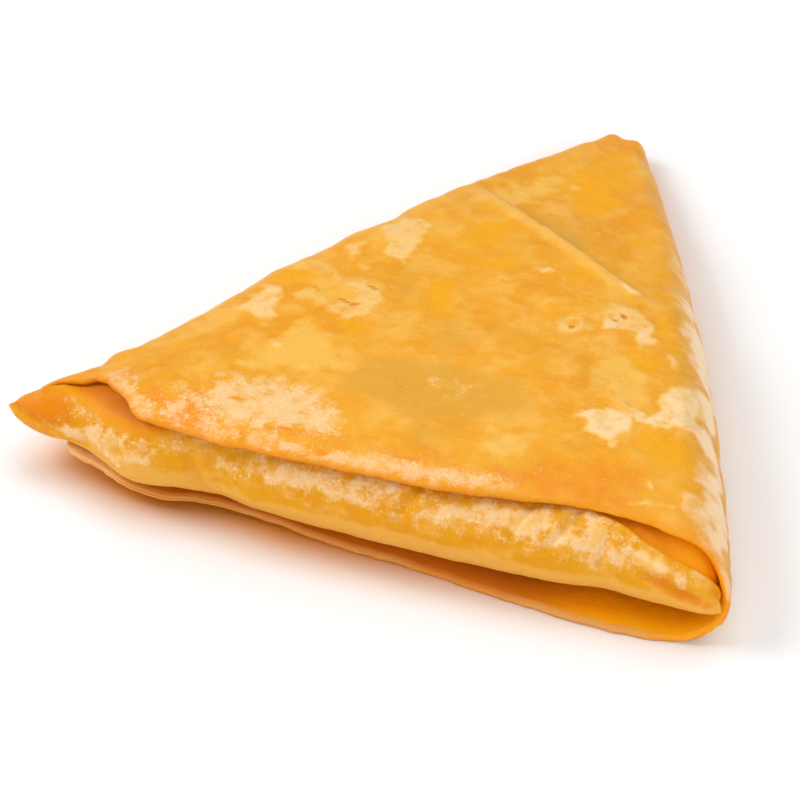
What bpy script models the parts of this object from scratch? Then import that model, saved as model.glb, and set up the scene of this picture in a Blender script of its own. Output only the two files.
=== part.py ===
"""A triangular folded samosa, in Blender 4.5: metres, +Z up, standing on its flat underside.

A sheet of dough is folded into an envelope, open along one side, round a filled packet of the
same dough. The open side runs along X and faces -Y, and the closed tip points to +Y.

Both pieces are pillows over a triangle. A pillow has an upper and a lower sheet, each a height
for every place on its plan. The two meet in a fold line all round, and round off into it along
a quarter ellipse. The envelope is the space between an outer and an inner pillow, open in front.
Sizes are in millimetres until the points go into a mesh.
"""

import math

import bmesh
import bpy
from mathutils import Vector, noise

MM = 0.001

# The dough.
SHEET = 1.0  # thickness of the fried sheet
GAP = 0.6  # clearance between the packet and the envelope round it
SLANT = 1.12  # a folded side runs at a slant, so this much more of X gives the same thickness

# Plan of the envelope: where its folded sides start at the open side, and its blunt tip.
FRONT_LEFT = Vector((-47.5, -42.5))
FRONT_RIGHT = Vector((52.2, -46.5))
TIP_Y = 51.7
TIP_LEFT_X = -1.6
TIP_RIGHT_X = 4.2
LEFT_BOWS = (1.4, -1.9)  # how far to +X the left side bows, near its front and near its tip
RIGHT_BOWS = (3.1, 2.8)

# Free edges, as (X, Y) from left to right.
UPPER_EDGE = [
    (FRONT_LEFT.x, FRONT_LEFT.y),
    (-40.5, -42.4),
    (-35.5, -46.0),
    (-31.0, -49.0),
    (-16.0, -50.6),
    (12.0, -49.0),
    (26.0, -46.0),
    (38.0, -43.9),
    (47.0, -44.9),
    (FRONT_RIGHT.x, FRONT_RIGHT.y),
]
LOWER_EDGE = [
    (FRONT_LEFT.x, FRONT_LEFT.y),
    (-43.3, -47.4),
    (-30.0, -50.2),
    (-19.0, -48.2),
    (21.0, -50.4),
    (37.0, -50.6),
    (46.0, -48.6),
    (FRONT_RIGHT.x, FRONT_RIGHT.y),
]

# Heights of the envelope. The pairs are (Y, share), and the slopes are the share of the height
# that the upper face has lost at a fold, and how far in from it that loss has faded.
FILLED_HEIGHT = 16.6  # over the filling
TIP_HEIGHT = 4.7
FILLING = [(-20.0, 1.0), (12.0, 0.78), (30.0, 0.42), (TIP_Y, 0.0)]
LEFT_SLOPE = [(-44.0, 0.36), (-34.0, 0.52), (-15.0, 0.48), (10.0, 0.30), (TIP_Y, 0.14)]
LEFT_REACH = 10.0
RIGHT_SLOPE = 0.28
RIGHT_REACH = 7.0
RIM_DROOP = 1.0  # how far the upper flap's free edge bends down over the packet
DROOP_REACH = 4.0
CORNER_LIFT = 4.0  # how far the underside rises off the table at the left corner
LIFT_ACROSS = [(-46.0, 1.0), (-29.0, 0.35), (-6.0, 0.0)]  # (X, share) of that rise
LIFT_ALONG = [(-48.0, 1.0), (-20.0, 0.0)]  # (Y, share)
LUMP = 0.5  # unevenness that the filling gives the upper face
LUMP_SIZE = 15.0

# Fold lines, as (Y, height), and the radii over which the faces round off into them.
LEFT_FOLD = [(-46.0, 6.8), (-20.0, 5.6), (TIP_Y, 2.2)]
RIGHT_FOLD = [(-46.0, 6.6), (-20.0, 5.4), (TIP_Y, 2.2)]
LEFT_RADIUS = [(-46.0, 6.0), (0.0, 6.5), (TIP_Y, 3.0)]
RIGHT_RADIUS = [(-46.0, 9.0), (-20.0, 7.0), (TIP_Y, 3.0)]

# The loose end of the strip shows through the upper face as a step across the tip.
STEP_START = Vector((-9.0, 20.4))
STEP_END = Vector((20.0, 2.8))
STEP_DROP = 1.5
STEP_WIDTH = 3.2
STEP_HOLLOW = (20.0, 8.0)  # how far past it the hollow behind it has filled out again
STEP_FADE = 0.2  # share of the step's length over which either end runs out

# The packet: its front from corner to corner, and the roll that the sheet makes there.
PACKET_FRONT = [
    (-52.2, -47.1),
    (-47.0, -48.6),
    (-39.5, -49.3),
    (-31.0, -51.6),
    (-20.0, -50.2),
    (-4.0, -51.7),
    (26.0, -51.2),
    (37.0, -49.8),
    (50.4, -49.2),
]
ROLL_MIDDLE = [(-52.2, 8.7), (-46.0, 7.0), (-31.0, 5.2), (-5.0, 7.6), (31.0, 7.8), (50.4, 6.5)]
ROLL_TOP = [(-52.2, 9.8), (-43.0, 10.4), (-34.0, 12.8), (0.0, 14.4), (31.0, 13.8), (50.4, 8.6)]
ROLL_BOTTOM = [(-52.2, 7.9), (-43.0, 5.4), (-31.0, 3.3), (-10.0, 1.8), (20.0, 2.0), (50.4, 4.4)]
ROLL_DEPTH = 6.0  # how far back its round front reaches
ROLL_END = 1.9  # radius of its right end
ROLL_END_DEPTH = (-49.5, -46.0)  # Y over which that end widens into the envelope's fold
CREST_DEPTH = (4.5, 10.0)  # how far behind its front its top has risen to the envelope's
SAG_DEPTH = (6.0, 26.0)  # and its underside has come down to the envelope's
PACKET_TIP_Y = 41.0
CAVITY_TIP_Y = 42.5
TIP_ROUND = 3.0

# Stations: how finely the pillows are divided.
ROUND_STEPS = 5
ACROSS_STEPS = 22
ALONG_STEPS = 17
SETTLE_STEPS = 6  # rounds of finding where a row of stations meets a free edge


def mix(a, b, t):
    return a + (b - a) * t


def smooth_step(start, end, value):
    """0 before start, 1 after end, and an S-curve between them."""
    t = min(max((value - start) / (end - start), 0.0), 1.0)
    return t * t * (3.0 - 2.0 * t)


def through(knots, value):
    """The value at a place on a smooth curve through knots, (place, value) pairs, that never
    overshoots them."""
    places = [place for place, _ in knots]
    values = [height for _, height in knots]
    if value <= places[0]:
        return values[0]
    if value >= places[-1]:
        return values[-1]
    slopes = [(v1 - v0) / (p1 - p0) for (p0, v0), (p1, v1) in zip(knots, knots[1:])]
    tangents = [slopes[0]]
    for before, after in zip(slopes, slopes[1:]):
        agree = before * after > 0.0
        tangents.append(2.0 * before * after / (before + after) if agree else 0.0)
    tangents.append(slopes[-1])
    i = max(k for k, place in enumerate(places[:-1]) if value >= place)
    span = places[i + 1] - places[i]
    t = (value - places[i]) / span
    start = values[i] * (1.0 + 2.0 * t) * (1.0 - t) ** 2 + tangents[i] * span * t * (1.0 - t) ** 2
    end = values[i + 1] * t * t * (3.0 - 2.0 * t) - tangents[i + 1] * span * t * t * (1.0 - t)
    return start + end


# Plan.


def side_line(start, tip_x, bows, y):
    """X of a folded side at y. In front of its start it runs straight forward."""
    t = min(max((y - start.y) / (TIP_Y - start.y), 0.0), 1.0)
    return mix(start.x, tip_x, t) + mix(*bows, t) * 4.0 * t * (1.0 - t)


def left_side(y):
    return side_line(FRONT_LEFT, TIP_LEFT_X, LEFT_BOWS, y)


def right_side(y):
    return side_line(FRONT_RIGHT, TIP_RIGHT_X, RIGHT_BOWS, y)


def packet_left(y):
    """Inside the left fold, but in front of the envelope's corner it flares out to its own."""
    corner_x, corner_y = PACKET_FRONT[0]
    inside = left_side(y) + SLANT * (SHEET + GAP)
    flare = (FRONT_LEFT.y - y) / (FRONT_LEFT.y - corner_y)
    return mix(inside, corner_x, min(max(flare, 0.0), 1.0))


def packet_right(y):
    return right_side(y) - SLANT * (SHEET + GAP)


# Heights of the envelope over the table.


def step_down(x, y):
    """How far the upper face drops past the loose end of the strip, towards the tip."""
    along = (STEP_END - STEP_START).normalized()
    here = Vector((x, y)) - STEP_START
    past = here.dot(Vector((-along.y, along.x)))
    run = here.dot(along) / (STEP_END - STEP_START).length
    ends = smooth_step(-STEP_FADE, STEP_FADE, run) * smooth_step(-STEP_FADE, STEP_FADE, 1.0 - run)
    return STEP_DROP * ends * smooth_step(0.0, STEP_WIDTH, past) * smooth_step(*STEP_HOLLOW, past)


def upper_height(x, y):
    """The upper face of the envelope, before it rounds off at the folds."""
    filled = through(FILLING, y)
    near_left = through(LEFT_SLOPE, y) * math.exp(-max(x - left_side(y), 0.0) / LEFT_REACH)
    near_right = RIGHT_SLOPE * math.exp(-max(right_side(y) - x, 0.0) / RIGHT_REACH)
    height = mix(TIP_HEIGHT, FILLED_HEIGHT, filled * (1.0 - near_left) * (1.0 - near_right))
    behind_edge = max(y - through(UPPER_EDGE, x), 0.0)
    droop = RIM_DROOP * math.exp(-behind_edge / DROOP_REACH)
    lump = LUMP * noise.noise(Vector((x, y, 0.0)) / LUMP_SIZE)
    return height - droop - step_down(x, y) + lump * filled


def lower_height(x, y):
    """The underside of the envelope: flat on the table, and lifted at the left corner."""
    return CORNER_LIFT * through(LIFT_ACROSS, x) * through(LIFT_ALONG, y)


def fold_height(x, y):
    """The height of the fold line that the two sheets share, from the left to the right one."""
    share = (x - left_side(y)) / (right_side(y) - left_side(y))
    return mix(through(LEFT_FOLD, y), through(RIGHT_FOLD, y), min(max(share, 0.0), 1.0))


def envelope_height(x, y, share, upper, inset):
    """A sheet of the envelope's outer pillow, or of its inner one, which is inset from it.

    share is 0 on the fold line and 1 where the sheet has rounded off to its full height.
    """
    full = upper_height(x, y) - inset if upper else lower_height(x, y) + inset
    return mix(fold_height(x, y), full, share)


# Heights of the packet.


def packet_height(x, y, share, upper):
    """A sheet of the packet: the envelope's inner one less the gap, or at the mouth, the roll."""
    if upper:
        inner, roll, depth = upper_height(x, y) - SHEET - GAP, through(ROLL_TOP, x), CREST_DEPTH
    else:
        inner, roll, depth = lower_height(x, y) + SHEET + GAP, through(ROLL_BOTTOM, x), SAG_DEPTH
    behind = y - through(PACKET_FRONT, x)
    full = mix(roll, inner, smooth_step(depth[0], depth[1], behind))
    middle = mix(through(ROLL_MIDDLE, x), fold_height(x, y), smooth_step(*SAG_DEPTH, behind))
    return mix(middle, full, share)


# Stations. Each has the share of the full height that the pillow reaches there.


def quarter_round():
    """(share of the radius travelled, share of the height reached) along a quarter ellipse."""
    angles = [math.pi / 2.0 * i / ROUND_STEPS for i in range(ROUND_STEPS)]
    return [(1.0 - math.cos(angle), math.sin(angle)) for angle in angles]


def stations(start, end, start_round, end_round, steps):
    """(place, share) from start to end, closer together over the rounds at the two ends."""
    half = 0.48 * abs(end - start)
    start_round = min(start_round, half)
    end_round = min(end_round, half)
    rise = [(start + start_round * run, share) for run, share in quarter_round()]
    fall = [(end - end_round * run, share) for run, share in reversed(quarter_round())]
    first, last = start + start_round, end - end_round
    full = [(mix(first, last, i / steps), 1.0) for i in range(steps + 1)]
    return (rise if start_round else []) + full + fall


def envelope_section(y, inset):
    """(X, share) of the stations across one of the envelope's pillows."""
    left, right = left_side(y) + SLANT * inset, right_side(y) - SLANT * inset
    left_radius = through(LEFT_RADIUS, y) - inset
    right_radius = through(RIGHT_RADIUS, y) - inset
    return stations(left, right, left_radius, right_radius, ACROSS_STEPS)


def packet_section(y):
    """(X, share) of the stations across the packet."""
    left_radius = through(LEFT_RADIUS, y) - SHEET - GAP
    right_radius = through(RIGHT_RADIUS, y) - SHEET - GAP
    right_radius = mix(ROLL_END, right_radius, smooth_step(*ROLL_END_DEPTH, y))
    return stations(packet_left(y), packet_right(y), left_radius, right_radius, ACROSS_STEPS)


def front_places(edge, section):
    """Y of the place on a front edge where each station of the sections starts."""
    places = []
    for i in range(len(section(TIP_Y))):
        y = edge[0][1]
        for _ in range(SETTLE_STEPS):
            y = through(edge, section(y)[i][0])
        places.append(y)
    return places


def sheet_points(fronts, front_round, tip, section, height):
    """Rows of points of one sheet, from the Y of each station's front to the tip.

    section gives the stations across at a Y, and height gives Z at X, Y and a share.
    """
    columns = []
    for i, front in enumerate(fronts):
        column = []
        for y, row_share in stations(front, tip, front_round, TIP_ROUND, ALONG_STEPS):
            x, column_share = section(y)[i]
            column.append(Vector((x, y, height(x, y, row_share * column_share))))
        columns.append(column)
    return list(zip(*columns))


# Solids.


class Skin:
    """Collects grids of points as one closed mesh, in metres."""

    def __init__(self):
        self.mesh = bmesh.new()

    def sheet(self, rows):
        """Adds a grid, and returns the vertices of its front row."""
        grid = [[self.mesh.verts.new(point * MM) for point in row] for row in rows]
        for near, far in zip(grid, grid[1:]):
            self.strip(near, far)
        return grid[0]

    def strip(self, near, far):
        for corners in zip(near, near[1:], far[1:], far):
            self.mesh.faces.new(corners)

    def finish(self, name, material):
        bmesh.ops.remove_doubles(self.mesh, verts=self.mesh.verts, dist=1e-7)
        bmesh.ops.recalc_face_normals(self.mesh, faces=self.mesh.faces)
        if self.mesh.calc_volume(signed=True) < 0.0:
            bmesh.ops.reverse_faces(self.mesh, faces=self.mesh.faces)
        data = bpy.data.meshes.new(name)
        self.mesh.to_mesh(data)
        self.mesh.free()
        data.shade_smooth()
        data.set_sharp_from_angle(angle=math.radians(50.0))
        data.materials.append(material)
        item = bpy.data.objects.new(name, data)
        bpy.context.scene.collection.objects.link(item)
        return item


def dough(name, colour, roughness):
    material = bpy.data.materials.new(name)
    material.use_nodes = True
    shader = material.node_tree.nodes["Principled BSDF"]
    shader.inputs["Base Color"].default_value = (*colour, 1.0)
    shader.inputs["Roughness"].default_value = roughness
    shader.inputs["Metallic"].default_value = 0.0
    material.diffuse_color = (*colour, 1.0)
    return material


def make_envelope():
    """The folded sheet: an outer and an inner skin, joined by the rim round its open side."""
    skin = Skin()
    for edge, upper in ((UPPER_EDGE, True), (LOWER_EDGE, False)):
        fronts = front_places(edge, lambda y: envelope_section(y, 0.0))
        rims = []
        for inset, tip in ((0.0, TIP_Y), (SHEET, CAVITY_TIP_Y)):
            rows = sheet_points(
                fronts,
                0.0,
                tip,
                lambda y: envelope_section(y, inset),
                lambda x, y, share: envelope_height(x, y, share, upper, inset),
            )
            rims.append(skin.sheet(rows))
        skin.strip(*rims)
    return skin.finish("outer_envelope", dough("golden_dough", (0.85, 0.48, 0.12), 0.4))


def make_packet():
    """The filled packet: one pillow, closed all round."""
    skin = Skin()
    fronts = front_places(PACKET_FRONT, packet_section)
    for upper in (True, False):
        rows = sheet_points(
            fronts,
            ROLL_DEPTH,
            PACKET_TIP_Y,
            packet_section,
            lambda x, y, share: packet_height(x, y, share, upper),
        )
        skin.sheet(rows)
    return skin.finish("inner_packet", dough("pale_dough", (0.90, 0.60, 0.18), 0.45))


def main():
    for item in list(bpy.data.objects):
        bpy.data.objects.remove(item)
    make_envelope()
    make_packet()


main()
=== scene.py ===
# %% [markdown]
# # A folded samosa
#
# A triangular samosa is a strip of thin dough folded over and over round its filling, then fried.
# Two pieces show here: the outer envelope, which is open along its front, and the filled packet
# inside it. The imported solids give their sizes and their places. This notebook makes the fried
# surface around them: the blisters, the oily golden pools, the browned rims and the frosting of
# tiny bubbles. Such a crust could be sculpted by hand. Here it is worked out from numbers, which
# can be checked against the solids and changed one by one. It starts by loading the solids, and
# by keeping their box.

import math

import bpy
import numpy as np
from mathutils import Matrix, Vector, noise


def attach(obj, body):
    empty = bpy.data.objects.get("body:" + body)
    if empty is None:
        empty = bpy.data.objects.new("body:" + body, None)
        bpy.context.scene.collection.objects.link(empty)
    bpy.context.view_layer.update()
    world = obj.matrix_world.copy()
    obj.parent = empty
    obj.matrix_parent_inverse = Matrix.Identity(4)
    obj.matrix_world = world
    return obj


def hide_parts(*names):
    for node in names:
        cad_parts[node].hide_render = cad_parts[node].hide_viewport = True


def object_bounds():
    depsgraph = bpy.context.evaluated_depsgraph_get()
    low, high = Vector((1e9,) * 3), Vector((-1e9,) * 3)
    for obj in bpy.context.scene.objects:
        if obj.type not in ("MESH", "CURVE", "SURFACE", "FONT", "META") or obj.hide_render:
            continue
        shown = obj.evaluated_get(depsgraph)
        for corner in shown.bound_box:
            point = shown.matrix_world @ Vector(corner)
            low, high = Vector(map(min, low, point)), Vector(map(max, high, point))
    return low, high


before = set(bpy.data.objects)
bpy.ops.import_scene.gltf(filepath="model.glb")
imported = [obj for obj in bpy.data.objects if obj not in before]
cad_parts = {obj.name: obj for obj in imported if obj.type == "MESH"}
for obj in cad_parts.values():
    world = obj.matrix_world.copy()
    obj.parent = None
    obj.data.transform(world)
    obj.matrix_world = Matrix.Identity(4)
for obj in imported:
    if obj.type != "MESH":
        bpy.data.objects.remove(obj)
solid_box = [list(corner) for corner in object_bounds()]
MM = 0.001
low, high = (Vector(corner) for corner in solid_box)
print("the solids measure", [round(side / MM, 1) for side in high - low], "mm")

# %% [markdown]
# ## The table, the camera and the light
#
# The samosa lies on a plain white table. A camera looking down at 38 degrees, a little round to
# the right, shows the open front and the top at once. A long lens from far off keeps the triangle
# from looking wedge-shaped. The light could come from the world alone, but a few square lamps are
# easier to aim. The widest hangs overhead and a little behind, which leaves the gap under the
# front edge dark. One at the left gives the surface its shape, a low one in front
# and a weak one at the right reach the roll and the right fold, and the white room fills the rest.
# The Standard view keeps white white, where Blender's usual view would turn the table grey and the
# crust dull.

# %% Table
TABLE_SIZE = 4.0

table_mesh = bpy.data.meshes.new("table")
half = TABLE_SIZE / 2.0
corners = [(-half, -half, 0.0), (half, -half, 0.0), (half, half, 0.0), (-half, half, 0.0)]
table_mesh.from_pydata(corners, [], [(0, 1, 2, 3)])
table = bpy.data.objects.new("table", table_mesh)
bpy.context.scene.collection.objects.link(table)
table.location.z = low.z

# %% Camera
LOOK_DOWN = math.radians(38.0)
LOOK_ROUND = math.radians(22.5)
DISTANCE = 0.65
LENS = 209.1
AIM = Vector((-7.3, -15.5, 0.0)) * MM

camera_data = bpy.data.cameras.new("camera")
camera_data.lens = LENS
camera_data.clip_start = 0.01
camera = bpy.data.objects.new("camera", camera_data)
bpy.context.scene.collection.objects.link(camera)
flat = math.cos(LOOK_DOWN)
towards = Vector((math.sin(LOOK_ROUND) * flat, -math.cos(LOOK_ROUND) * flat, math.sin(LOOK_DOWN)))
camera.location = AIM + towards * DISTANCE
camera.rotation_euler = towards.to_track_quat("Z", "Y").to_euler()
bpy.context.scene.camera = camera
print("the camera stands", round(camera.location.z, 2), "m above the table")

# %% Light
ROOM_LIGHT = 0.31
LAMPS = {  # name: (place, side length, power), in metres and watts
    "overhead_lamp": ((0.08, 0.48, 0.90), 1.1, 4.95),
    "left_lamp": ((-0.55, -0.15, 0.50), 0.4, 3.1),
    "front_lamp": ((0.25, -0.60, 0.32), 0.5, 1.8),
    "right_lamp": ((0.60, 0.00, 0.40), 0.5, 0.95),
}

room = bpy.data.worlds.new("room")
room.use_nodes = True
room.node_tree.nodes["Background"].inputs["Color"].default_value = (1.0, 1.0, 1.0, 1.0)
room.node_tree.nodes["Background"].inputs["Strength"].default_value = ROOM_LIGHT
bpy.context.scene.world = room
bpy.context.scene.view_settings.view_transform = "Standard"
for name, (place, side, power) in LAMPS.items():
    lamp_data = bpy.data.lights.new(name, "AREA")
    lamp_data.size = side
    lamp_data.energy = power
    lamp = bpy.data.objects.new(name, lamp_data)
    bpy.context.scene.collection.objects.link(lamp)
    lamp.location = place
    lamp.rotation_euler = lamp.location.to_track_quat("Z", "Y").to_euler()
print("lamps:", ", ".join(LAMPS))

# %% [markdown]
# ## Curves, noise and patches
#
# Everything below is worked out for many thousand points at once, so the helpers take whole numpy
# arrays. `through` draws a smooth curve through a few chosen knots and never overshoots them,
# which a spline would do. `lumps` is Blender's own smooth noise. `bell` is a soft bump across a
# line and `fading` a trail that dies away behind an edge. `outside` gives the distance to a patch
# drawn with a few corners, and it goes below zero inside, so one threshold gives a patch and a
# softer one its edge.

# %% Curves and noise
def mix(a, b, t):
    return a + (b - a) * t


def smooth_step(start, end, value):
    """0 before start, 1 after end, and an S-curve between them."""
    t = np.clip((value - start) / (end - start), 0.0, 1.0)
    return t * t * (3.0 - 2.0 * t)


def through(knots, value):
    """The values at places on a smooth curve through knots, (place, value) pairs."""
    places, heights = np.array(knots, float).T
    value = np.clip(value, places[0], places[-1])
    slopes = np.diff(heights) / np.diff(places)
    before, after = slopes[:-1], slopes[1:]
    agree = before * after > 0.0
    middle = np.where(agree, 2.0 * before * after / np.where(agree, before + after, 1.0), 0.0)
    tangents = np.concatenate([slopes[:1], middle, slopes[-1:]])
    i = np.clip(np.searchsorted(places, value, side="right") - 1, 0, len(slopes) - 1)
    span = places[i + 1] - places[i]
    t = (value - places[i]) / span
    start = heights[i] * (1.0 + 2.0 * t) + tangents[i] * span * t
    end = heights[i + 1] * (3.0 - 2.0 * t) - tangents[i + 1] * span * (1.0 - t)
    return start * (1.0 - t) ** 2 + end * t * t


def lumps(size, x, y, z=0.0, seed=0.0):
    """Smooth noise from about -1 to 1, with lumps of a size in mm."""
    x, y, z = np.broadcast_arrays(x, y, z)
    flat_points = zip((x / size + seed).flat, (y / size + seed).flat, (z / size).flat)
    return np.array([noise.noise(Vector(point)) for point in flat_points]).reshape(x.shape)


def bell(value, width):
    """A soft bump of height 1 about 0."""
    return np.exp(-((value / width) ** 2))


def fading(value, reach):
    """1 up to 0, and from there less and less."""
    return np.exp(-np.maximum(value, 0.0) / reach)


def swell(bumps, x, y):
    """The height of soft round bumps, (x, y, reach, height), at places in mm."""
    return sum(h * np.exp(-((x - at_x) ** 2 + (y - at_y) ** 2) / r**2) for at_x, at_y, r, h in bumps)


# %% Patches
OVAL_CORNERS = 12


def oval(x, y, length, width, turn):
    """Corners of an oval: its middle, its half length and half width, and its turn in degrees."""
    across = math.radians(turn)
    corners = []
    for i in range(OVAL_CORNERS):
        angle = 2.0 * math.pi * i / OVAL_CORNERS
        along, aside = length * math.cos(angle), width * math.sin(angle)
        corner_x = x + along * math.cos(across) - aside * math.sin(across)
        corner_y = y + along * math.sin(across) + aside * math.cos(across)
        corners.append((corner_x, corner_y))
    return corners


def to_line(start, end, x, y):
    """Distance in mm to the straight line between two points."""
    run_x, run_y = end[0] - start[0], end[1] - start[1]
    t = np.clip(((x - start[0]) * run_x + (y - start[1]) * run_y) / (run_x**2 + run_y**2), 0.0, 1.0)
    return np.hypot(x - start[0] - t * run_x, y - start[1] - t * run_y)


def outside(corners, x, y):
    """Distance in mm outside a patch with these corners, and below 0 inside it."""
    nearest = np.full(x.shape, 1e6)
    inside = np.zeros(x.shape, bool)
    for (x0, y0), (x1, y1) in zip(corners, corners[1:] + corners[:1]):
        nearest = np.minimum(nearest, to_line((x0, y0), (x1, y1), x, y))
        if y1 != y0:
            inside ^= ((y0 > y) != (y1 > y)) & (x < x0 + (y - y0) * (x1 - x0) / (y1 - y0))
    return np.where(inside, -nearest, nearest)


def cover(patches, x, y, soft):
    """How far patches cover points: 0 outside, up to 1 inside. A patch is its strength and then
    its corners, or the five numbers of an oval."""
    covered = np.zeros(x.shape)
    for strength, *shape in patches:
        corners = oval(*shape) if len(shape) > 1 else shape[0]
        covered = np.maximum(covered, strength * smooth_step(soft, -soft, outside(corners, x, y)))
    return covered


# %% [markdown]
# ## Skins
#
# Both pieces are pillows: an upper and a lower sheet over a triangle, which meet in a fold line
# all round and round off into it. A cloth simulation would fold them too, but not to the sizes of
# the solids, so here a sheet is a grid of points put in place by formula. Its lines stand closer
# together over the rounds than along the flats, so that the folds stay smooth. Points that fall
# together, where two sheets meet, become one vertex, and that closes the skin without any seam.

# %% Grids
def stations(first_lines, flat_lines, last_lines):
    """Where the lines of a grid run: how far over the first round, along the flat and over the
    last round, each from 0 to 1, and the share of the full height reached there."""
    first_turn = np.linspace(0.0, math.pi / 2.0, first_lines + 1)[:-1]
    last_turn = np.linspace(0.0, math.pi / 2.0, last_lines + 1)[:-1][::-1]
    flat_run = np.linspace(0.0, 1.0, flat_lines + 1)
    ones = np.ones(len(flat_run))
    first = np.concatenate([1.0 - np.cos(first_turn), ones, np.ones(last_lines)])
    middle = np.concatenate([np.zeros(first_lines), flat_run, np.ones(last_lines)])
    last = np.concatenate([np.ones(first_lines), ones, 1.0 - np.cos(last_turn)])
    share = np.concatenate([np.sin(first_turn), ones, np.sin(last_turn)])
    return first, middle, last, share


def place(start, end, start_round, end_round, first, middle, last):
    """The place of each station between start and end."""
    most = 0.48 * abs(end - start)
    start_round = np.minimum(start_round, most)
    end_round = np.minimum(end_round, most)
    return mix(start + start_round * first, end - end_round * last, middle)


class Skin:
    """Collects grids of points in mm, with numbers kept at each point, as one closed mesh."""

    def __init__(self):
        self.points, self.faces, self.notes, self.count = [], [], {}, 0

    def add(self, points, notes, flip):
        """Adds a grid of rows of points. notes holds arrays of the same rows and columns."""
        rows, columns = points.shape[:2]
        index = self.count + np.arange(rows * columns).reshape(rows, columns)
        corners = [index[:-1, :-1], index[:-1, 1:], index[1:, 1:], index[1:, :-1]]
        quads = np.stack(corners[::-1] if flip else corners, axis=-1).reshape(-1, 4)
        self.faces.append(quads)
        self.points.append(points.reshape(-1, 3))
        for name, values in notes.items():
            self.notes.setdefault(name, []).append(np.broadcast_to(values, (rows, columns)).ravel())
        self.count += rows * columns

    def close(self):
        """Makes points that fall together one, and works out which way each point faces."""
        points = np.concatenate(self.points)
        _, kept, index = np.unique(np.round(points, 4), axis=0, return_index=True, return_inverse=True)
        self.points = points[kept]
        self.notes = {name: np.concatenate(values)[kept] for name, values in self.notes.items()}
        faces = index.ravel()[np.concatenate(self.faces)]
        whole = np.ones(len(faces), bool)
        for a, b in ((0, 1), (1, 2), (2, 3), (3, 0), (0, 2), (1, 3)):
            whole &= faces[:, a] != faces[:, b]
        narrow = [sorted(set(face), key=list(face).index) for face in faces[~whole].tolist()]
        self.narrow = [face for face in narrow if len(face) == 3]
        self.faces = faces[whole]
        a, b, c, d = (self.points[self.faces[:, i]] for i in range(4))
        face_normals = np.cross(c - a, d - b)
        self.normals = np.zeros_like(self.points)
        for i in range(4):
            np.add.at(self.normals, self.faces[:, i], face_normals)
        self.normals /= np.maximum(np.linalg.norm(self.normals, axis=1, keepdims=True), 1e-9)

    def raise_by(self, relief):
        """Moves each point outwards by its relief in mm."""
        self.points = self.points + self.normals * relief[:, None]

    def piece(self, name, masks):
        """Makes the object, with each mask kept as an attribute of its vertices."""
        mesh = bpy.data.meshes.new(name)
        faces = self.faces.tolist() + self.narrow
        mesh.from_pydata((self.points * MM).tolist(), [], faces)
        mesh.shade_smooth()
        for mask, values in masks.items():
            attribute = mesh.attributes.new(mask, "FLOAT", "POINT")
            attribute.data.foreach_set("value", np.ascontiguousarray(values, np.float32))
        item = bpy.data.objects.new(name, mesh)
        bpy.context.scene.collection.objects.link(item)
        print(name, "has", sum(len(face) - 2 for face in faces), "triangles")
        return item


# %% [markdown]
# ## The form of the envelope
#
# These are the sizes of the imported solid, in mm: the plan with its folded sides and its two free
# edges, the heights over the filling, and the folds with their radii. The solid has few facets.
# Smoothing its mesh would shrink it and keep the facets' flat look. The same functions as the
# solid's give its true smooth form at any number of points, and a few more knots bring out what
# the facets were too coarse for, such as the ragged left end of the upper edge.

# %% Plan of the envelope
SHEET = 1.0
GAP = 0.6
SLANT = 1.12
FRONT_LEFT = (-48.6, -44.0)
FRONT_RIGHT = (52.2, -46.5)
TIP_Y = 51.7
TIP_LEFT_X = -1.6
TIP_RIGHT_X = 4.2
LEFT_BOWS = (1.4, -1.9)
RIGHT_BOWS = (3.1, 2.8)
UPPER_EDGE = [
    FRONT_LEFT, (-46.4, -43), (-44.2, -43.4), (-42.2, -43.3), (-41, -42.2), (-39.4, -42.4),
    (-37.2, -44.2), (-34.6, -46), (-32.6, -48.3), (-30, -49.4), (-26, -49.8), (-16, -50.4), (0, -49.5),
    (12, -48.6), (20, -47.2), (30, -44.9), (38, -43.8), (44, -44.3), (48.2, -43.9), (50.8, -44.9),
    FRONT_RIGHT,
]
LOWER_EDGE = [
    FRONT_LEFT, (-46.2, -44.4), (-44.2, -45.2), (-43.2, -47.2), (-42.3, -48.1), (-38, -49),
    (-31.4, -50.2), (-28.4, -50.2), (-23, -48.3), (-17, -47.8), (-10.1, -48.1), (10.6, -49),
    (23.7, -50.1), (36.7, -50.6), (42, -50.1), (46.5, -49.2), (49.2, -48.5), (50.8, -47.9), (51.8, -47.2),
    FRONT_RIGHT,
]


def side_line(start, tip_x, bows, y):
    """X of a folded side at y. In front of its start it runs straight forward."""
    t = np.clip((y - start[1]) / (TIP_Y - start[1]), 0.0, 1.0)
    return mix(start[0], tip_x, t) + mix(*bows, t) * 4.0 * t * (1.0 - t)


def left_side(y):
    return side_line(FRONT_LEFT, TIP_LEFT_X, LEFT_BOWS, y)


def right_side(y):
    return side_line(FRONT_RIGHT, TIP_RIGHT_X, RIGHT_BOWS, y)


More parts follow.
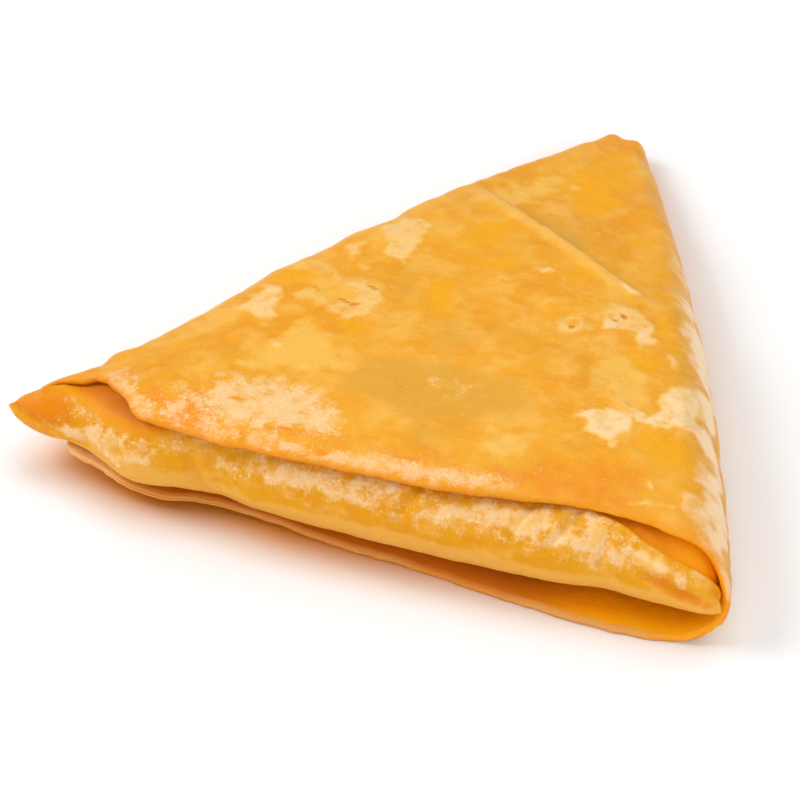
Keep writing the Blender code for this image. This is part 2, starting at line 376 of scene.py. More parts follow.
# %% Heights of the envelope
FILLED_HEIGHT = 16.6
TIP_HEIGHT = 4.7
FILLING = [(-20, 1), (12, 0.78), (30, 0.42), (TIP_Y, 0)]
LEFT_SLOPE = [(-44, 0.36), (-34, 0.50), (-15, 0.46), (10, 0.30), (TIP_Y, 0.14)]
LEFT_REACH = 10.0
RIGHT_SLOPE = 0.28
RIGHT_REACH = 7.0
RIM_DROOP = 1.0
DROOP_REACH = 4.0
CORNER_LIFT = 4.0
LIFT_ACROSS = [(-46, 1), (-29, 0.35), (-6, 0)]
LIFT_ALONG = [(-48, 1), (-20, 0)]
CURL = [(-46, 0.5), (-31, 0.5), (-20, 0.45), (-10, 0.2), (0, 0)]  # by X
CURL_REACH = 2.6
LUMP = 0.5
LUMP_SIZE = 15.0
LEFT_FOLD = [(-44, 9.7), (-38, 8.2), (-32, 7.2), (-18, 6.2), (TIP_Y, 2.2)]
RIGHT_FOLD = [(-46, 6.6), (-20, 5.4), (TIP_Y, 2.2)]
LEFT_RADIUS = [(-44, 3.4), (-32, 4.6), (0, 6.2), (TIP_Y, 3)]
RIGHT_RADIUS = [(-46, 7.8), (-20, 7), (TIP_Y, 3)]
STEP_START = np.array((-9.0, 20.4))
STEP_END = np.array((20.0, 2.8))
STEP_DROP = 1.7
STEP_WIDTH = 2.6
STEP_HOLLOW = (20.0, 8.0)
STEP_FADE = 0.2


def by_the_step(x, y):
    """How far a place is past the strip's loose end, in mm, and how far along it, 0 to 1."""
    length = np.linalg.norm(STEP_END - STEP_START)
    along_x, along_y = (STEP_END - STEP_START) / length
    here_x, here_y = x - STEP_START[0], y - STEP_START[1]
    return here_y * along_x - here_x * along_y, (here_x * along_x + here_y * along_y) / length


def upper_height(x, y):
    """The upper face of the envelope, before it rounds off at the folds."""
    filled = through(FILLING, y)
    near_left = through(LEFT_SLOPE, y) * fading(x - left_side(y), LEFT_REACH)
    near_right = RIGHT_SLOPE * fading(right_side(y) - x, RIGHT_REACH)
    height = mix(TIP_HEIGHT, FILLED_HEIGHT, filled * (1.0 - near_left) * (1.0 - near_right))
    droop = RIM_DROOP * fading(y - through(UPPER_EDGE, x), DROOP_REACH)
    past, run = by_the_step(x, y)
    ends = smooth_step(-STEP_FADE, STEP_FADE, run) * smooth_step(-STEP_FADE, STEP_FADE, 1.0 - run)
    step = STEP_DROP * ends * smooth_step(0.0, STEP_WIDTH, past) * smooth_step(*STEP_HOLLOW, past)
    return height - droop - step + LUMP * lumps(LUMP_SIZE, x, y) * filled


def lower_height(x, y):
    """The underside: flat on the table, and lifted at the left corner."""
    return CORNER_LIFT * through(LIFT_ACROSS, x) * through(LIFT_ALONG, y)


def lower_curl(x, y):
    """How far the lower sheet's free edge curls up against the roll."""
    return through(CURL, x) * fading(y - through(LOWER_EDGE, x), CURL_REACH)


def fold_height(x, y):
    """The height of the fold line that the two sheets share."""
    share = (x - left_side(y)) / (right_side(y) - left_side(y))
    return mix(through(LEFT_FOLD, y), through(RIGHT_FOLD, y), np.clip(share, 0.0, 1.0))


def inner_face(x, y):
    """The underside of the upper sheet, with its rounds."""
    left_run = (x - left_side(y) - SLANT * SHEET) / (through(LEFT_RADIUS, y) - SHEET)
    right_run = (right_side(y) - SLANT * SHEET - x) / (through(RIGHT_RADIUS, y) - SHEET)
    run = np.clip(np.minimum(left_run, right_run), 0.0, 1.0)
    share = np.sqrt(1.0 - (1.0 - run) ** 2)
    return mix(fold_height(x, y), upper_height(x, y) - SHEET, share)


# %% [markdown]
# ## The envelope as one skin
#
# Each sheet of the envelope is one long grid. It starts deep inside, comes forward along the inner
# face, turns round the free edge and runs back over the outer face to the tip. The free edge is a
# rounded rim and not a knife cut, because the dough swells there as it fries. The edge also
# wanders a little, as any cut dough does. At the left the lower sheet is two layers thick, so its
# rim there has two lips with a groove between them.

# %% The grids of the envelope
ACROSS = (13, 184, 17)  # lines over the left fold, the flat and the right fold
ALONG = (0, 190, 8)
INNER_ALONG = (0, 16, 3)
RIM_TURNS = np.linspace(0.0, 1.0, 11)[1:-1]  # where the lines round the free edge run
RIM_SWELL = 0.3
LIP_SWELL = 0.55
LIPS = [(-44, 1), (-22, 0.7), (-12, 0)]  # how far the lower rim is split in two, by X
CORNER_SHARE = 0.5  # the share of the height below which the rim points straight forward
TIP_ROUND = 3.0
CAVITY_TIP_Y = 42.5
SETTLE_STEPS = 8
RIPPLES = [(7, 0.30), (2.2, 0.20), (0.9, 0.08)]  # (size, height) of the free edges' unevenness
RIPPLE_FADE = (0.0, 6.0)


def edge_place(edge, x):
    """Y of a free edge, with its ripples, which fade out at the two corners."""
    ripple = sum(height * lumps(size, x, edge[3][1]) for size, height in RIPPLES)
    from_left, from_right = x - FRONT_LEFT[0], FRONT_RIGHT[0] - x
    inner = smooth_step(*RIPPLE_FADE, from_left) * smooth_step(*RIPPLE_FADE, from_right)
    return through(edge, x) + ripple * inner


def across(y, columns, inset):
    """X of each column of a sheet at y."""
    first, middle, last, _ = columns
    left, right = left_side(y) + SLANT * inset, right_side(y) - SLANT * inset
    radii = through(LEFT_RADIUS, y) - inset, through(RIGHT_RADIUS, y) - inset
    return place(left, right, *radii, first, middle, last)


def front_line(edge, columns):
    """Y of the free edge at each column. It depends on X, which depends on Y in turn."""
    front = np.full(columns[0].shape, edge[0][1])
    for _ in range(SETTLE_STEPS):
        front = edge_place(edge, across(front, columns, 0.0))
    front[0], front[-1] = edge[0][1], edge[-1][1]
    return front


def sheet_grid(front, upper, columns, rows, inset, tip):
    """Rows of points of one sheet, from its free edge to the tip."""
    row_first, row_middle, row_last, row_share = (values[:, None] for values in rows)
    y = place(front, tip, 0.0, TIP_ROUND, row_first, row_middle, row_last)
    x = across(y, columns, inset)
    full = upper_height(x, y) - inset if upper else lower_height(x, y) + lower_curl(x, y) + inset
    return np.stack([x, y, mix(fold_height(x, y), full, columns[3] * row_share)], axis=-1)


def rim_grid(inner, outer, share, lips):
    """Rows of points round the free edge, from the inner sheet's front to the outer one's."""
    forward = outer[0] - outer[2]
    forward = mix(np.array((0.0, -1.0, 0.0)), forward, smooth_step(0.0, CORNER_SHARE, share)[:, None])
    forward /= np.linalg.norm(forward, axis=-1, keepdims=True)
    turns = RIM_TURNS[:, None, None]
    one_lip = RIM_SWELL * np.sin(math.pi * turns)
    two_lips = LIP_SWELL * np.abs(np.sin(2.0 * math.pi * turns))
    return mix(inner[0], outer[0], turns) + forward * mix(one_lip, two_lips, lips[:, None])


envelope = Skin()
columns = stations(*ACROSS)
share = columns[3]
for edge in (UPPER_EDGE, LOWER_EDGE):
    upper = edge is UPPER_EDGE
    front = front_line(edge, columns)
    outer = sheet_grid(front, upper, columns, stations(*ALONG), 0.0, TIP_Y)
    inner = sheet_grid(front, upper, columns, stations(*INNER_ALONG), SHEET, CAVITY_TIP_Y)
    lips = np.zeros(share.shape) if upper else through(LIPS, outer[0][:, 0]) * share
    rim = rim_grid(inner, outer, share, lips)
    points = np.concatenate([inner[::-1], rim, outer])
    outwards = np.concatenate([np.zeros(len(inner)), RIM_TURNS, np.ones(len(outer))])
    notes = {
        "outwards": outwards[:, None],
        "upwards": float(upper),
        "share": share[None, :],
        "from_edge": points[..., 1] - outer[0][None, :, 1],
    }
    envelope.add(points, notes, flip=not upper)
envelope.close()
print("the envelope has", len(envelope.points), "vertices")

# %% [markdown]
# ## Where the dough blistered, browned and soaked up oil
#
# Frying dough is patchy. Where a bubble lifts the sheet it dries out pale and crisp. Where the
# sheet lies thin on the filling it soaks up oil and turns a deep clear gold. High places toast to
# orange, and near the rims tiny bubbles frost the surface. All this could be painted on by hand,
# but then no patch could be moved or made softer by a number. Each kind is a list of patches
# instead, drawn with a few corners or as an oval, in mm on the plan, and a slow wobble of the
# ground under them tears their outlines. Every vertex keeps one number for each kind, its mask.

# %% Patches of the envelope
BLISTERS = [
    (0.85, [(-28.8, -22.6), (-28.2, -17), (-27.6, -14), (-25, -15.6), (-23.8, -18.5), (-23.2, -23.6)]),
    (0.7, [(-17, -12), (-15.7, -9.7), (-13.1, -10.8), (-10.9, -12.7), (-10.2, -15.9), (-10.9, -19.4),
        (-12.5, -20.6), (-14.3, -21.2), (-16.8, -20.3), (-17.2, -17.9), (-15.2, -17.7), (-14.4, -15.6),
        (-16.2, -14.4)]),
    (0.56, [(-27.4, -11.2), (-25.8, -7.4), (-24.5, -5.8), (-22.4, -6.2), (-20.4, -7.5), (-17.7, -9.9),
        (-17, -12.9), (-19, -12.3), (-19.6, -9.9), (-21.9, -8.9), (-23.3, -9), (-26, -10.3)]),
    (0.62, [(-22.8, -16), (-20.6, -14.8), (-18.4, -15), (-16.8, -17.8), (-18.6, -19), (-20.4, -18),
        (-22, -17.8)]),
    (0.75, [(-18.2, 3.4), (-17.2, 8.6), (-13.8, 9.3), (-12.1, 7.1), (-11.4, 2.5), (-11.6, -3.6),
        (-14.2, -3.8), (-16.4, -1.2), (-15.4, 0.6), (-17.2, 1.2)]),
    (0.7, [(-21.2, -1.6), (-18.8, 0.2), (-18.6, -2.2), (-18.2, -6), (-19.8, -4)]),
    (0.7, -16.5, -5.9, 1.1, 0.5, -35),
    (0.7, [(19, -4.9), (18.6, -2.3), (19.8, -0.9), (21.9, -0.9), (24.3, -2.6), (26.2, -5), (27.6, -7.8),
        (27, -9.7), (25.4, -8.8), (24, -7.4), (21.9, -8.2), (20.1, -8.3)]),
    (0.95, [(19, -5.2), (20.4, -4), (21.2, -6), (22.1, -8.1), (20.1, -8.1)]),
    (0.95, [(23.4, -4), (26.2, -5), (27.6, -7.8), (27, -9.7), (25.2, -8.6), (24, -7)]),
    (1, [(33, -23.5), (32.9, -19.5), (33.6, -16.7), (35.2, -15.4), (36.8, -16.2), (38, -18.2),
        (38.4, -21), (37.9, -23.8), (36.4, -26), (34.3, -27.1), (32.1, -26.8), (32.4, -25.3)]),
    (0.85, [(29.6, -23.9), (31.4, -22.8), (32.6, -25), (32.8, -26.8), (31, -27.2)]),
    (0.6, [(27, -22.2), (29, -22.2), (31.1, -24.2), (30.2, -25.4), (28.4, -25.4)]),
    (1, [(24.2, -29), (24.1, -27.5), (27.2, -25.5), (28.4, -25.1), (30.3, -25.4), (31.3, -28.9),
        (30.9, -31.3), (28.2, -32.1), (25.6, -31.4)]),
    (0.9, 30.1, -32.6, 1.2, 0.8, -15),
    (0.5, [(14.8, -40.2), (15.6, -36.5), (17.2, -35.2), (19.6, -37.4), (19.4, -39.6), (17, -41.4)]),
    (0.9, 37.9, -38.3, 1.2, 0.7, -10), (0.9, 37.7, -41.8, 1.9, 0.55, 8), (0.7, 41.2, -40.7, 0.7, 0.5, 0),
    (0.6, 33.4, -43.3, 0.7, 0.5, 0), (0.9, 47.9, -38, 0.7, 0.6, 0), (0.9, -20.3, -29.7, 1, 0.8, 0),
    (0.8, -14.9, -32.6, 0.8, 0.6, 0), (0.6, -22.6, -34.4, 0.9, 0.7, 0), (0.95, 19.6, 3.4, 1.6, 0.8, -31),
    (0.85, 7.4, 1.8, 1.1, 0.8, 0), (0.6, 1.1, 31.1, 1.2, 0.8, 0), (0.75, 30.7, -10.8, 2.1, 0.8, -46),
    (0.6, 11.2, -5.4, 1.2, 0.6, 50), (0.5, -0.6, 5.1, 1.4, 0.6, 10), (0.5, 2.8, -2.2, 1.6, 0.9, -20),
]
RING = (15.9, -9.4, 1.5, 1.6)  # a burst bubble: its middle, and its crest's radius and half width
RING_STRENGTH = 0.8
PALE = [
    (0.85, -5.2, 24.6, 9, 2.6, 64), (0.8, 22.6, -5.4, 3, 2, 30),
    (0.9, [(-22.3, -35.2), (-21.3, -28.5), (-18.7, -21.8), (-14, -25), (-10.6, -29), (-7, -29.8),
        (-8.6, -32), (-14, -33.4), (-19.5, -35.2)]),
    (0.6, -24, -28.4, 3, 1.6, -58), (0.6, -24.4, -8, 3.2, 1.3, 12), (0.6, -19.4, -12, 3.4, 2.8, 0),
    (0.6, -15, -14, 4.4, 5.4, 0), (0.8, 26.5, -19, 6.5, 3.8, -60), (0.6, 22, -12, 3, 4.5, 20),
    (0.5, 6.5, -29.2, 3, 1.6, 4), (0.6, 28, 5, 3, 6, 30), (0.7, 17, -38, 3.6, 3, 30),
    (0.6, -31, -26, 3, 6, -25),
]
POOLS = [
    (1, [(-28.2, -13.2), (-25, -10.2), (-21.3, -10.6), (-21, -12.2), (-23.5, -12.2), (-26.5, -13.8)]),
    (0.8, -0.8, 1, 4.6, 1.6, 14), (0.8, -3.6, -10, 5.4, 2.2, -70), (0.7, -11.2, -22.6, 3, 1.4, -20),
    (0.9, [(23.2, -12.2), (25, -9.8), (28.4, -10.8), (30, -13.6), (29.6, -16.4), (27, -14.6)]),
    (0.8, 27.9, -4.2, 5.2, 1.3, -56), (0.8, 12, -7.6, 1.5, 1.2, -30), (0.8, 36.8, -30.5, 5.4, 3.6, -32),
    (1, 37.1, -33.2, 1.6, 1.2, 0), (0.9, 42.4, -31.7, 2.4, 1.3, 70), (0.9, 41.6, -36.7, 1.8, 0.8, 0),
    (0.6, 29.5, -37.4, 6, 3, 28), (0.7, 22.5, 10.9, 5, 2.2, -22), (0.8, 5.6, 24.4, 3.2, 2.6, -40),
    (0.7, 2.2, 36, 3.6, 1.6, 10), (0.7, 14, 19, 4, 1.4, -10), (1, -39.6, -39, 2.2, 1.4, 50),
    (0.75, -3.4, 8, 3.4, 5.4, -18), (0.8, 12.4, 3.2, 2.2, 2.4, 0), (0.9, 4.6, 34, 4.2, 11, 8),
]
TOASTED = [
    (0.9, [(-30.2, -47), (-28, -43.6), (-24, -42.4), (-21, -46), (-21.6, -51), (-28, -50.4)]),
    (0.9, -9.4, -46, 2.9, 0.9, 8), (0.7, 29.5, -39.4, 8, 3.2, 20), (0.6, 6, -45.6, 13, 1.6, 3),
    (0.8, 27, -43, 11, 2.4, 6), (1, -29.6, -45.6, 2.4, 1.4, -20), (0.6, -37.6, -41.6, 4.6, 2, 25),
    (0.5, 1, 48, 4, 5, 0), (0.5, -30, -32, 9, 1.6, 62), (0.5, 9, 30, 4.6, 2, -20),
]
# greyish dull patches: mostly the dough's own tone, but the one at 5.6, 15.6 is painted shade in the hollow
# past the step
DULL_AND_SHADED = [
    (0.8, 7.6, -39.7, 3.2, 2.2, 19), (0.7, -9.7, -8.2, 4.2, 1.4, -66), (0.8, 1.4, -19.2, 3.6, 2.6, -70),
    (1, 5.6, 15.6, 6.4, 2.4, -29), (0.9, 4, -31, 14, 6, 8), (0.5, -26, -33, 4, 2, 20),
]
FROSTED = [
    (1, [(-25, -44.2), (-24, -38.5), (-17, -36.4), (-11, -37.6), (-5.5, -41), (-4, -45), (-11.5, -45.8),
        (-17.5, -48), (-21.5, -47.5)]),
    (0.6, [(-31.5, -47), (-28, -42.2), (-23, -41.4), (-20.4, -46), (-14, -50.2), (-28, -50.6)]),
    (0.6, 6.5, -28.8, 2.6, 1.2, 4), (0.35, -38, -40, 4, 2, 30),
]
CREVICES = [  # small brown pits in the blisters
    (1, -13, -11.6, 1.3, 0.35, -32), (1, -15.5, -16.2, 1.3, 0.3, -25), (1, -13.6, -16.8, 0.9, 0.4, 20),
    (1, 15.9, -9.9, 0.45, 0.45, 0), (1, 21.4, -4, 0.8, 0.5, -60), (1, 20.6, -5.6, 0.6, 0.35, 0),
]
CRACKS = [  # toasted breaks behind the upper rim
    (1, -4.6, -48.1, 0.9, 0.5, -30), (1, -16.3, -50.1, 0.35, 1.8, -10), (1, -11.4, -45.8, 2.4, 0.3, 5),
    (1, -2, -44.3, 1.8, 0.3, 15), (1, -33.4, -38.6, 2.4, 0.3, 30), (1, -19.5, -43, 1.6, 0.3, 20),
]

# %% Masks of the envelope
WOBBLES = [(3.4, 1), (1.7, 0.8)]  # (size, reach) of the torn outlines, in mm
SOFT_PATCHES = {  # name: (patches, softness of their edges in mm)
    "blistered": (BLISTERS, 0.7),
    "pale": (PALE, 2.1),
    "pooled": (POOLS, 1.68),
    "toasted": (TOASTED, 2.8),
    "dull": (DULL_AND_SHADED, 2.8),
    "frosted": (FROSTED, 2.8),
}
PIT_SOFTNESS = 0.3
CRACK_SOFTNESS = 0.5


def wobble(x, y, z, seed):
    """How far the ground under the patches is shifted at each point, in mm."""
    return sum(reach * lumps(size, x, y, z, seed) for size, reach in WOBBLES)


x, y, z = envelope.points.T
outwards = envelope.notes["outwards"]
upwards = envelope.notes["upwards"]
from_edge = envelope.notes["from_edge"]
wobble_x, wobble_y = x + wobble(x, y, z, 3.1), y + wobble(x, y, z, 7.7)
on_top = outwards * upwards
masks = {
    name: cover(patches, wobble_x, wobble_y, softness) * on_top
    for name, (patches, softness) in SOFT_PATCHES.items()
}
ring_x, ring_y, radius, crest = RING
off_crest = np.abs(np.hypot(wobble_x - ring_x, wobble_y - ring_y) - radius) / crest
ring = RING_STRENGTH * on_top * np.clip(1.0 - off_crest, 0.0, 1.0)
masks["blistered"] = np.maximum(masks["blistered"], ring)
masks["creviced"] = cover(CREVICES, x, y, PIT_SOFTNESS) * on_top
cracked = cover(CRACKS, wobble_x, wobble_y, CRACK_SOFTNESS) * on_top
masks["toasted"] = np.maximum(masks["toasted"], cracked)
for name, mask in masks.items():
    print(name, "covers", round(float(mask.mean()) * 100.0, 1), "% of the envelope's points")

# %% [markdown]
# ## Rims, folds and hidden sides
#
# Some looks follow the dough's own edges, so they are worked out from the distance to an edge and
# need no drawn patch. Along the upper rim runs a band of frost, and the rim itself is toasted,
# its orange partly painted glow of light through the thin edge. The right fold stayed out of the
# oil and is dry and pale, in scallops along the top and in ragged spots down its side, and its
# pale colour is partly painted light as well, for the light it catches from the right. At the
# left corner the lower sheet's flap stayed pale too. Inside, the dough is a clear deep orange,
# brightened as painted glow of light through the thin sheets, with painted shade that darkens it
# to brown towards the left and under the rims. The underside and the far folds take blisters and
# clear pools where slow noise passes a level, which costs one line where drawing them would take
# a page.

# %% Rims, folds and hidden sides
RIM_BAND = (1.3, 2.0)  # the frost lies this far behind the edge, and this wide
BAND_STRENGTH = 0.85
BAND_X = (26.0, 16.0)
RIM_GLOW_REACH = 1.3
DRY_LIT_REACH = 4.5
DRY_LIT_Y = (30.0, -5.0)
RAGGED_SHARE = (0.2, 0.65)
FLAP_FROM_EDGE = (7.0, 4.0)  # the lower sheet stayed pale and dry this close to its edge
FLAP_X = (-24.0, -38.0)
FLAP_DRY = 0.6
RIM_SIDE_X = [  # how brown the lower sheet's rim is, by X
    (-44, 0), (-30, 0.8), (4, 0.8), (12, 0.3), (22, 0.5), (28, 1), (38, 1), (46, 0),
]
# painted shade: inside the mouth the lower sheet is painted darker brown towards the left, where less light
# gets in
SHADE_INSIDE_X = (36.0, 22.0)  # inside, the lower sheet is browner to the left of here
FAR_SHARE = (0.9, 0.4)
FAR_X = (0.0, -10.0)
WILD_BLISTERS = (6.5, 0.34, 0.05)  # (size, level, softness) of the blisters that noise places
WILD_POOLS = (5.0, 0.18, 0.1)

share = envelope.notes["share"]
band = bell(from_edge - RIM_BAND[0], RIM_BAND[1]) * on_top
band *= smooth_step(-0.7, 0.2, lumps(4.2, x * 0.4, y, seed=8.8)) * smooth_step(*BAND_X, x)
masks["frosted"] = np.maximum(masks["frosted"], BAND_STRENGTH * band) * (1.0 - cracked)

# the right fold's pale colour: its own dry paleness, and painted light for the light it catches and
# reflects from the right
near_right = fading(right_side(y) - x, DRY_LIT_REACH) * on_top
scallops = 0.5 * lumps(4.5, x * 0.5, y, seed=4.7) + 0.2 * lumps(1.6, x, y, seed=1.9)
dry_and_lit = smooth_step(0.25, 0.75, near_right + scallops) * np.sqrt(near_right) * smooth_step(*DRY_LIT_Y, y)
ragged = 0.55 * lumps(3.4, x * 0.6, y * 0.6, z, seed=4.9) + 0.3 * lumps(1.7, x, y, z, seed=5.3)
dry_and_lit *= smooth_step(*RAGGED_SHARE, share + ragged)
flap = (1.0 - upwards) * smooth_step(*FLAP_FROM_EDGE, from_edge) * smooth_step(*FLAP_X, x)
masks["dry_and_lit"] = np.maximum(dry_and_lit, FLAP_DRY * flap)
# the rim band: toasted orange, and partly painted glow of light through the thin edge
masks["rim"] = fading(from_edge, RIM_GLOW_REACH) * smooth_step(0.0, 0.3, outwards) * (1.0 - 0.8 * flap)
masks["rim_range"] = (1.0 - upwards) * through(RIM_SIDE_X, x)
masks["from_edge"] = from_edge
# the inner faces get the dough's clear deep orange, pushed bright as painted glow for light shining through
# the thin sheets
masks["inside"] = (1.0 - outwards) * (1.0 - 0.85 * flap)
# painted shade inside the mouth
masks["shade_inside"] = (1.0 - outwards) * smooth_step(*SHADE_INSIDE_X, x) * (1.0 - flap)

far_fold = outwards * smooth_step(*FAR_SHARE, share) * smooth_step(*FAR_X, x)
turned_away = np.maximum(outwards * (1.0 - upwards), far_fold)
size, level, soft = WILD_BLISTERS
wild = lumps(size, x, y, z, seed=21.0) + 0.3 * lumps(1.7, x, y, z, seed=22.0) - level
masks["blistered"] = np.maximum(masks["blistered"], turned_away * smooth_step(-soft, soft, wild))
size, level, soft = WILD_POOLS
wild = lumps(size, x, y, z, seed=23.0) - level
masks["pooled"] = np.maximum(masks["pooled"], turned_away * smooth_step(-soft, soft, wild))
print("the dry fold covers", round(float(masks["dry_and_lit"].mean()) * 100.0, 1), "% of the points")

# %% [markdown]
# ## Relief of the envelope
#
# The outer face isn't flat anywhere. It swells over the filling, puckers in small waves and lifts
# in blisters, and it sinks a little where oil pooled. A displacement modifier could do this with a
# noise texture. Adding the heights here, along each point's own normal, lets the masks that colour
# the patches raise them too, so colour and form always agree. The relief fades out at the rim and
# where the dough rests on the table. The strip's loose end shows on top as a step with a crest.

# %% Relief of the envelope
SWELLS = [  # (x, y, reach, height) of single soft bumps and dips
    (-31, -10, 9, 0.8), (-20.5, 9.5, 4, -0.5), (-41.6, -34.2, 1.8, 0.7), (-42, -37, 1.3, -0.5),
    (-0.6, 51, 1.4, 0.6), (1.6, 52, 0.8, -0.4), (3.6, 50.6, 1.2, 0.4),
]
RIDGES = [  # (start, end, height) of folds in the blisters and of the nick in the rim
    ((26.0, -22.5), (28.5, -24.0), 0.3),
    ((28.5, -24.0), (30.5, -25.5), 0.3),
    ((-15.0, -52.0), (-15.4, -48.8), -0.5),
]
RIDGE_WIDTH = 0.45
CREST_PLACE = 0.9  # the crest runs this far in front of the step
CREST_WIDTH = 1.4
CREST_HEIGHT = 0.4
CREST_HIGHLIGHT = 0.8

texture = 0.55 * lumps(3.6, x, y, z, seed=5.9) + 0.45 * lumps(1.8, x, y, z, seed=2.2)
relief = 0.28 * lumps(9.0, x, y, z, seed=1.3) + 0.20 * texture + 0.12 * lumps(2.4, x, y, z, seed=1.8)
relief += 0.03 * lumps(1.6, x * 0.2, y, seed=14.0)
relief *= outwards * mix(0.35, 1.0, upwards)
relief += masks["blistered"] * (0.22 + 0.18 * lumps(2.0, x, y, z, seed=4.4))
relief += masks["frosted"] * (0.05 + 0.14 * lumps(1.9, x, y, z, seed=6.6))
relief += 0.45 * masks["dry_and_lit"] * scallops
relief += 0.12 * masks["pale"] - 0.12 * masks["pooled"] - 0.3 * masks["creviced"] - 0.1 * cracked
relief += swell(SWELLS, x, y) * on_top
for start, end, height in RIDGES:
    relief += height * bell(to_line(start, end, x, y), RIDGE_WIDTH) * on_top
past, run = by_the_step(x, y)
crest = bell(past + CREST_PLACE, CREST_WIDTH) * on_top
crest *= smooth_step(-0.05, 0.15, run) * smooth_step(1.05, 0.9, run)
relief += CREST_HEIGHT * crest
# a painted highlight along the step's crest, laid in as pale colour
masks["pale"] = np.maximum(masks["pale"], CREST_HIGHLIGHT * crest)
masks["texture"] = texture
on_table = outwards * (1.0 - upwards) * smooth_step(1.5, 0.0, z)
relief *= smooth_step(0.0, 0.6, outwards) * (1.0 - on_table)
envelope.raise_by(relief)
envelope_piece = envelope.piece("fried_envelope", masks)

# %% [markdown]
# ## The packet as one skin
#
# The packet is a plain closed pillow. Its front bulges out of the envelope as a soft roll, which
# gets thin towards its pointed left end and is turned in tightly at the right one. Only that roll
# and a little of the top behind it can be seen, so the grid is fine at the front and gets coarse
# towards the hidden tip. Where the packet passes under the upper sheet it is held down by it, and
# at the left corner it sticks to it. A shrinkwrap modifier could press the one on the other, but
# here the sheet's inner face is known at every point, so the lower of two heights is enough.

# %% Form of the packet
PACKET_FRONT = [
    (-52.2, -47.1), (-47, -48.6), (-39.5, -49.3), (-31, -51.6), (-20, -49.9), (-14, -51.2), (-4, -51.5),
    (26, -50.7), (37, -49.6), (51.4, -49.2),
]
ROLL_MIDDLE = [(-52.2, 8.6), (-46, 7.6), (-31, 5.4), (-5, 7.8), (31, 8), (50.8, 7)]
ROLL_TOP = [
    (-52.2, 9.7), (-49.5, 10.5), (-46.5, 11.5), (-43, 12), (-40, 12.4), (-34, 13.2), (0, 14.4),
    (30, 13.9), (38.5, 13.1), (44.6, 11), (50.8, 9.6),
]
ROLL_BOTTOM = [
    (-52.2, 7.1), (-50.4, 6.2), (-46, 5.1), (-31, 3.5), (-10, 2.1), (20, 2.3), (44, 4), (50.8, 4.4),
]
ROLL_DEPTH = [(-52.2, 1.2), (-46, 3.4), (-38, 6), (34, 6), (46, 3.4), (50.8, 2.8)]
ROLL_END = 2.8
RIGHT_GAP = -0.5
ROLL_END_DEPTH = (-49.5, -46.0)
TIP_END = 1.2
TIP_END_DEPTH = (-45.6, -40.0)
TIP_FLARE = 0.75
CREST_DEPTH = [(30, 4.5), (38, 3.6), (46, 2.6), (50.8, 2.6)]  # how far behind the front, by X
CREST_LENGTH = 5.0
SAG_DEPTH = (6.0, 26.0)
PACKET_TIP_Y = 41.0
HELD_GAP = 0.12
HELD_DEPTH = (-0.4, 0.8)  # how far behind the upper edge the sheet starts to hold the packet down
STUCK = [(-40, 1), (-34, 0)]  # how far it sticks to the sheet as well, by X


def packet_left(y):
    """Inside the left fold, but in front of the envelope's corner it flares out to its own."""
    corner_x, corner_y = PACKET_FRONT[0]
    inside = left_side(y) + SLANT * (SHEET + GAP)
    flare = np.clip((FRONT_LEFT[1] - y) / (FRONT_LEFT[1] - corner_y), 0.0, 1.0)
    return mix(inside, corner_x, flare**TIP_FLARE)


def packet_height(x, y, share, upper):
    """A sheet of the packet: the envelope's inner one less the gap, or at the mouth, the roll."""
    crest = through(CREST_DEPTH, x)
    if upper:
        inner, roll = upper_height(x, y) - SHEET - GAP, through(ROLL_TOP, x)
        depth = crest, crest + CREST_LENGTH
    else:
        inner, roll, depth = lower_height(x, y) + SHEET + GAP, through(ROLL_BOTTOM, x), SAG_DEPTH
    behind = y - through(PACKET_FRONT, x)
    full = mix(roll, inner, smooth_step(*depth, behind))
    middle = mix(through(ROLL_MIDDLE, x), fold_height(x, y), smooth_step(*SAG_DEPTH, behind))
    height = mix(middle, full, share)
    if not upper:
        return height
    held = smooth_step(*HELD_DEPTH, y - through(UPPER_EDGE, x))
    under = inner_face(x, y) - HELD_GAP
    return mix(height, mix(np.minimum(height, under), under, through(STUCK, x) * share), held)


# %% The grids of the packet
PACKET_ACROSS = (14, 270, 18)
PACKET_ALONG = (40, 52, 6)
PACKET_GRADING = 2.2  # how much finer the flat is divided at the front


def packet_across(y, first, middle, last):
    left_radius = mix(TIP_END, through(LEFT_RADIUS, y) - SHEET, smooth_step(*TIP_END_DEPTH, y))
    right_radius = through(RIGHT_RADIUS, y) - SHEET - GAP
    right_radius = mix(ROLL_END, right_radius, smooth_step(*ROLL_END_DEPTH, y))
    right = right_side(y) - SLANT * (SHEET + mix(RIGHT_GAP, GAP, smooth_step(*ROLL_END_DEPTH, y)))
    return place(packet_left(y), right, left_radius, right_radius, first, middle, last)


first, middle, last, share = stations(*PACKET_ACROSS)
front = np.full(first.shape, PACKET_FRONT[0][1])
for _ in range(SETTLE_STEPS):
    front_x = packet_across(front, first, middle, last)
    front = through(PACKET_FRONT, front_x)
row_first, row_middle, row_last, row_share = (values[:, None] for values in stations(*PACKET_ALONG))
depth = through(ROLL_DEPTH, front_x)
y = place(front, PACKET_TIP_Y, depth, TIP_ROUND, row_first, row_middle**PACKET_GRADING, row_last)
x = packet_across(y, first, middle, last)

packet = Skin()
for upper in (True, False):
    z = packet_height(x, y, share * row_share, upper)
    notes = {"upwards": float(upper), "behind": y - front}
    packet.add(np.stack([x, y, z], axis=-1), notes, flip=not upper)
packet.close()
print("the packet has", len(packet.points), "vertices")

